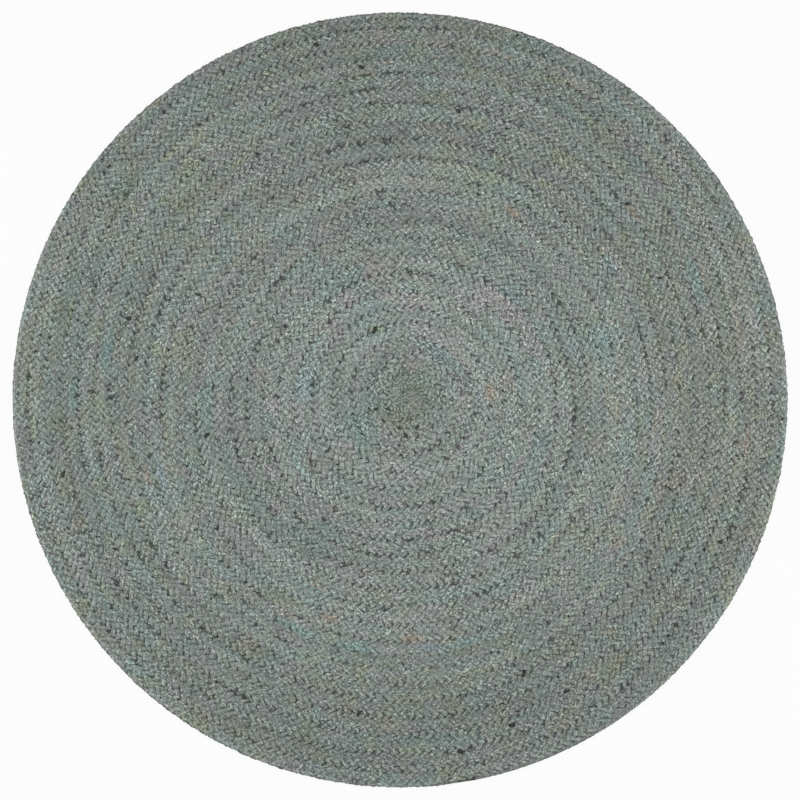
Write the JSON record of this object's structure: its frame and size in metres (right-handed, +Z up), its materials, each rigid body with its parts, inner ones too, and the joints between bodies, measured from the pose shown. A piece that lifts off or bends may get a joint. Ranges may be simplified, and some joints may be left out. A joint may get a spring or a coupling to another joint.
{
  "type": "round braided jute rug",
  "caption": "Flat round rug: one flat braided jute plait coiled from the middle outwards, sewn edge to edge, with its tapered end tucked into a smooth circular rim.",
  "frame": {"origin": "centre of the rug's flat underside, on the floor it lies on", "axes": "+Z up out of the floor, through the rug's thickness; +X and +Y across the rug; the coil's outer end is at 281 degrees from +X, anticlockwise seen from above"},
  "size_m": [1.2, 1.2, 0.01],
  "materials": {
    "dyed_jute": "matte plaited jute, melange grey-green with teal, olive and dark fibres"
  },
  "bodies": {
    "root": {"rug": "dyed_jute"}
  },
  "joints": []
}
